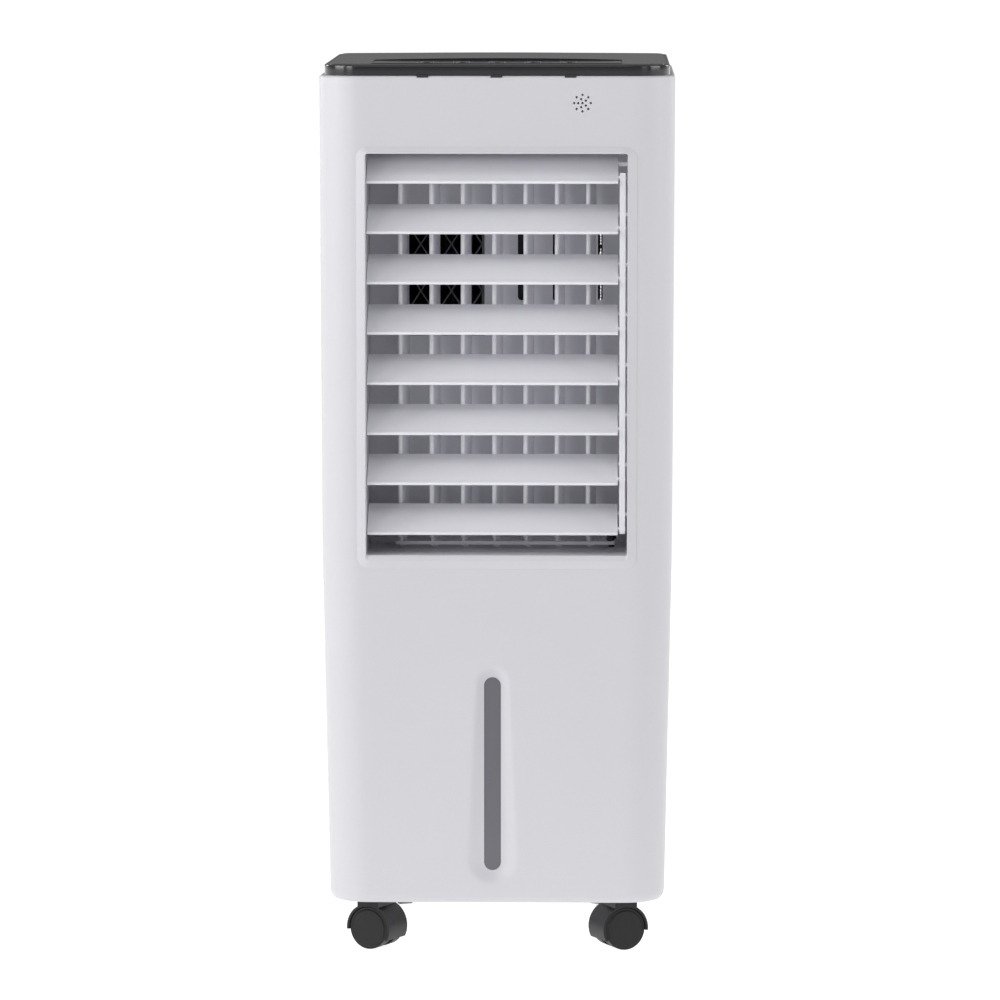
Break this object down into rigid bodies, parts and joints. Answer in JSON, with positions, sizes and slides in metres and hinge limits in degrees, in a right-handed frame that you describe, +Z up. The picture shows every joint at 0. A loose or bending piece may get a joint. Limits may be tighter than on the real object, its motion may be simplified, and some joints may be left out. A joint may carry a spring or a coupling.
{
  "type": "evaporative cooler",
  "caption": "Portable tower evaporative cooler on swivel casters, with tilting louvres and swinging vanes over a front outlet, a rear wet-pad cassette and a pull-out water tank.",
  "frame": {"origin": "on the floor under the middle of the footprint, where the caster wheels rest", "axes": "+Z up, -Y the front where the air leaves, +X to the right of someone facing the front"},
  "size_m": [0.3, 0.32, 0.76],
  "materials": {
    "white_plastic": "satin moulded",
    "white_moving": "satin moulded",
    "vane_plastic": "satin moulded",
    "tank_plastic": "satin moulded",
    "grey_plastic": "satin moulded",
    "gloss_black": "high gloss",
    "black_plastic": "fine grain",
    "wheel_plastic": "fine grain",
    "key_plastic": "gloss",
    "smoked_window": "clear smoked",
    "display_black": "gloss",
    "board_green": "solder mask",
    "bright_steel": "plain",
    "motor_black": "enamel",
    "wire_grey": "powder coat",
    "pad_cellulose": "corrugated, resin stiffened",
    "filter_mesh": "woven nylon net",
    "hose_clear": "translucent silicone",
    "pump_black": "fine grain"
  },
  "bodies": {
    "casing": {"front_casing": "white_plastic", "rear_casing": "white_plastic", "base_pan": "white_plastic", "top_cover": "gloss_black", "control_panel": "gloss_black", "display_window": "display_black", "control_board": "board_green", "level_window": "smoked_window", "louvre_frame": "white_plastic", "vane_frame": "white_plastic", "swing_motor": "bright_steel", "air_guide": "grey_plastic", "outlet_guard": "wire_grey", "blower_housing": "grey_plastic", "blower_cover": "grey_plastic", "fan_motor": "motor_black", "motor_bracket": "bright_steel", "drip_tray": "grey_plastic", "water_hose": "hose_clear", "water_pump": "pump_black", "cord_gland": "black_plastic", "casing_screws": "bright_steel"},
    "louvre_1": {"louvre_1": "white_moving"},
    "louvre_2": {"louvre_2": "white_moving"},
    "louvre_3": {"louvre_3": "white_moving"},
    "louvre_4": {"louvre_4": "white_moving"},
    "louvre_5": {"louvre_5": "white_moving"},
    "louvre_6": {"louvre_6": "white_moving"},
    "louvre_7": {"louvre_7": "white_moving"},
    "louvre_8": {"louvre_8": "white_moving"},
    "louvre_link": {"louvre_link": "white_moving"},
    "vane_1": {"vane_1": "vane_plastic"},
    "vane_2": {"vane_2": "vane_plastic"},
    "vane_3": {"vane_3": "vane_plastic"},
    "vane_4": {"vane_4": "vane_plastic"},
    "vane_5": {"vane_5": "vane_plastic"},
    "vane_6": {"vane_6": "vane_plastic"},
    "vane_7": {"vane_7": "vane_plastic"},
    "vane_link": {"vane_link": "white_moving"},
    "swing_crank": {"swing_crank": "black_plastic"},
    "blower_rotor": {"blower_wheel": "black_plastic", "motor_shaft": "bright_steel"},
    "cassette": {"filter_frame": "white_plastic", "dust_filter": "filter_mesh", "cooling_pad": "pad_cellulose"},
    "tank": {"water_tank": "tank_plastic"},
    "drain_plug": {"drain_plug": "black_plastic"},
    "key_power": {"key_power": "key_plastic"},
    "key_mode": {"key_mode": "key_plastic"},
    "key_speed": {"key_speed": "key_plastic"},
    "key_swing": {"key_swing": "key_plastic"},
    "key_timer": {"key_timer": "key_plastic"},
    "caster_fl": {"caster_fl_hood": "black_plastic"},
    "caster_fl_wheels": {"caster_fl_wheels": "wheel_plastic"},
    "caster_fr": {"caster_fr_hood": "black_plastic"},
    "caster_fr_wheels": {"caster_fr_wheels": "wheel_plastic"},
    "caster_rl": {"caster_rl_hood": "black_plastic"},
    "caster_rl_wheels": {"caster_rl_wheels": "wheel_plastic"},
    "caster_rr": {"caster_rr_hood": "black_plastic"},
    "caster_rr_wheels": {"caster_rr_wheels": "wheel_plastic"}
  },
  "joints": [
    {"name": "louvre_1_tilt", "type": "hinge", "parent": "casing", "child": "louvre_1", "pos_m": [0, -0.127, 0.6721], "axis": [1, 0, 0], "range_deg": [-46, 9]},
    {"name": "louvre_2_tilt", "type": "hinge", "parent": "casing", "child": "louvre_2", "pos_m": [0, -0.127, 0.6297], "axis": [1, 0, 0], "range_deg": [-46, 9]},
    {"name": "louvre_3_tilt", "type": "hinge", "parent": "casing", "child": "louvre_3", "pos_m": [0, -0.127, 0.5873], "axis": [1, 0, 0], "range_deg": [-46, 9]},
    {"name": "louvre_4_tilt", "type": "hinge", "parent": "casing", "child": "louvre_4", "pos_m": [0, -0.127, 0.5449], "axis": [1, 0, 0], "range_deg": [-46, 9]},
    {"name": "louvre_5_tilt", "type": "hinge", "parent": "casing", "child": "louvre_5", "pos_m": [0, -0.127, 0.5025], "axis": [1, 0, 0], "range_deg": [-46, 9]},
    {"name": "louvre_6_tilt", "type": "hinge", "parent": "casing", "child": "louvre_6", "pos_m": [0, -0.127, 0.4601], "axis": [1, 0, 0], "range_deg": [-46, 9]},
    {"name": "louvre_7_tilt", "type": "hinge", "parent": "casing", "child": "louvre_7", "pos_m": [0, -0.127, 0.4177], "axis": [1, 0, 0], "range_deg": [-46, 9]},
    {"name": "louvre_8_tilt", "type": "hinge", "parent": "casing", "child": "louvre_8", "pos_m": [0, -0.127, 0.3753], "axis": [1, 0, 0], "range_deg": [-46, 9]},
    {"name": "louvre_link_pin", "type": "hinge", "parent": "louvre_1", "child": "louvre_link", "pos_m": [0, -0.14396, 0.6615], "axis": [1, 0, 0], "range_deg": [-9, 46]},
    {"name": "vane_1_swing", "type": "hinge", "parent": "casing", "child": "vane_1", "pos_m": [-0.0798, -0.088, 0.5145], "axis": [0, 0, 1], "range_deg": [-30, 50]},
    {"name": "vane_2_swing", "type": "hinge", "parent": "casing", "child": "vane_2", "pos_m": [-0.0532, -0.088, 0.5145], "axis": [0, 0, 1], "range_deg": [-30, 50]},
    {"name": "vane_3_swing", "type": "hinge", "parent": "casing", "child": "vane_3", "pos_m": [-0.0266, -0.088, 0.5145], "axis": [0, 0, 1], "range_deg": [-30, 50]},
    {"name": "vane_4_swing", "type": "hinge", "parent": "casing", "child": "vane_4", "pos_m": [0, -0.088, 0.5145], "axis": [0, 0, 1], "range_deg": [-30, 50]},
    {"name": "vane_5_swing", "type": "hinge", "parent": "casing", "child": "vane_5", "pos_m": [0.0266, -0.088, 0.5145], "axis": [0, 0, 1], "range_deg": [-30, 50]},
    {"name": "vane_6_swing", "type": "hinge", "parent": "casing", "child": "vane_6", "pos_m": [0.0532, -0.088, 0.5145], "axis": [0, 0, 1], "range_deg": [-30, 50]},
    {"name": "vane_7_swing", "type": "hinge", "parent": "casing", "child": "vane_7", "pos_m": [0.0798, -0.088, 0.5145], "axis": [0, 0, 1], "range_deg": [-30, 50]},
    {"name": "vane_link_pin", "type": "hinge", "parent": "vane_1", "child": "vane_link", "pos_m": [-0.08188, -0.09982, 0.348], "axis": [0, 0, 1], "range_deg": [-50, 30]},
    {"name": "swing_crank_turn", "type": "hinge", "parent": "casing", "child": "swing_crank", "pos_m": [0.097, -0.088, 0.345], "axis": [0, 0, 1], "range_deg": [-30, 50]},
    {"name": "blower_spin", "type": "hinge", "parent": "casing", "child": "blower_rotor", "pos_m": [0.005, 0.014, 0.57], "axis": [0, 0, 1], "continuous": true},
    {"name": "cassette_pull", "type": "slide", "parent": "casing", "child": "cassette", "axis": [0, 1, 0], "range_m": [0, 0.09]},
    {"name": "tank_pull", "type": "slide", "parent": "casing", "child": "tank", "axis": [0, 1, 0], "range_m": [0, 0.235]},
    {"name": "drain_plug_pull", "type": "slide", "parent": "tank", "child": "drain_plug", "axis": [0, 1, 0], "range_m": [0, 0.015]},
    {"name": "key_power_press", "type": "slide", "parent": "casing", "child": "key_power", "axis": [0, 0, -1], "range_m": [0, 0.0008], "stiffness_N_per_m": 900},
    {"name": "key_mode_press", "type": "slide", "parent": "casing", "child": "key_mode", "axis": [0, 0, -1], "range_m": [0, 0.0008], "stiffness_N_per_m": 900},
    {"name": "key_speed_press", "type": "slide", "parent": "casing", "child": "key_speed", "axis": [0, 0, -1], "range_m": [0, 0.0008], "stiffness_N_per_m": 900},
    {"name": "key_swing_press", "type": "slide", "parent": "casing", "child": "key_swing", "axis": [0, 0, -1], "range_m": [0, 0.0008], "stiffness_N_per_m": 900},
    {"name": "key_timer_press", "type": "slide", "parent": "casing", "child": "key_timer", "axis": [0, 0, -1], "range_m": [0, 0.0008], "stiffness_N_per_m": 900},
    {"name": "caster_fl_swivel", "type": "hinge", "parent": "casing", "child": "caster_fl", "pos_m": [-0.098, -0.11, 0.046], "axis": [0, 0, 1], "continuous": true},
    {"name": "caster_fl_roll", "type": "hinge", "parent": "caster_fl", "child": "caster_fl_wheels", "pos_m": [-0.1033, -0.10718, 0.018], "axis": [0.4695, 0.8829, 0], "continuous": true},
    {"name": "caster_fr_swivel", "type": "hinge", "parent": "casing", "child": "caster_fr", "pos_m": [0.098, -0.11, 0.046], "axis": [0, 0, 1], "continuous": true},
    {"name": "caster_fr_roll", "type": "hinge", "parent": "caster_fr", "child": "caster_fr_wheels", "pos_m": [0.10344, -0.10746, 0.018], "axis": [0.4226, -0.9063, 0], "continuous": true},
    {"name": "caster_rl_swivel", "type": "hinge", "parent": "casing", "child": "caster_rl", "pos_m": [-0.098, 0.11, 0.046], "axis": [0, 0, 1], "continuous": true},
    {"name": "caster_rl_roll", "type": "hinge", "parent": "caster_rl", "child": "caster_rl_wheels", "pos_m": [-0.09595, 0.10436, 0.018], "axis": [-0.9397, -0.342, 0], "continuous": true},
    {"name": "caster_rr_swivel", "type": "hinge", "parent": "casing", "child": "caster_rr", "pos_m": [0.098, 0.11, 0.046], "axis": [0, 0, 1], "continuous": true},
    {"name": "caster_rr_roll", "type": "hinge", "parent": "caster_rr", "child": "caster_rr_wheels", "pos_m": [0.095, 0.1048, 0.018], "axis": [-0.866, 0.5, 0], "continuous": true}
  ],
  "couplings": [
    {"joint": "louvre_2_tilt", "follows": "louvre_1_tilt", "ratio": 1},
    {"joint": "louvre_3_tilt", "follows": "louvre_1_tilt", "ratio": 1},
    {"joint": "louvre_4_tilt", "follows": "louvre_1_tilt", "ratio": 1},
    {"joint": "louvre_5_tilt", "follows": "louvre_1_tilt", "ratio": 1},
    {"joint": "louvre_6_tilt", "follows": "louvre_1_tilt", "ratio": 1},
    {"joint": "louvre_7_tilt", "follows": "louvre_1_tilt", "ratio": 1},
    {"joint": "louvre_8_tilt", "follows": "louvre_1_tilt", "ratio": 1},
    {"joint": "louvre_link_pin", "follows": "louvre_1_tilt", "ratio": -1},
    {"joint": "vane_2_swing", "follows": "vane_1_swing", "ratio": 1},
    {"joint": "vane_3_swing", "follows": "vane_1_swing", "ratio": 1},
    {"joint": "vane_4_swing", "follows": "vane_1_swing", "ratio": 1},
    {"joint": "vane_5_swing", "follows": "vane_1_swing", "ratio": 1},
    {"joint": "vane_6_swing", "follows": "vane_1_swing", "ratio": 1},
    {"joint": "vane_7_swing", "follows": "vane_1_swing", "ratio": 1},
    {"joint": "vane_link_pin", "follows": "vane_1_swing", "ratio": -1},
    {"joint": "swing_crank_turn", "follows": "vane_1_swing", "ratio": 1}
  ]
}
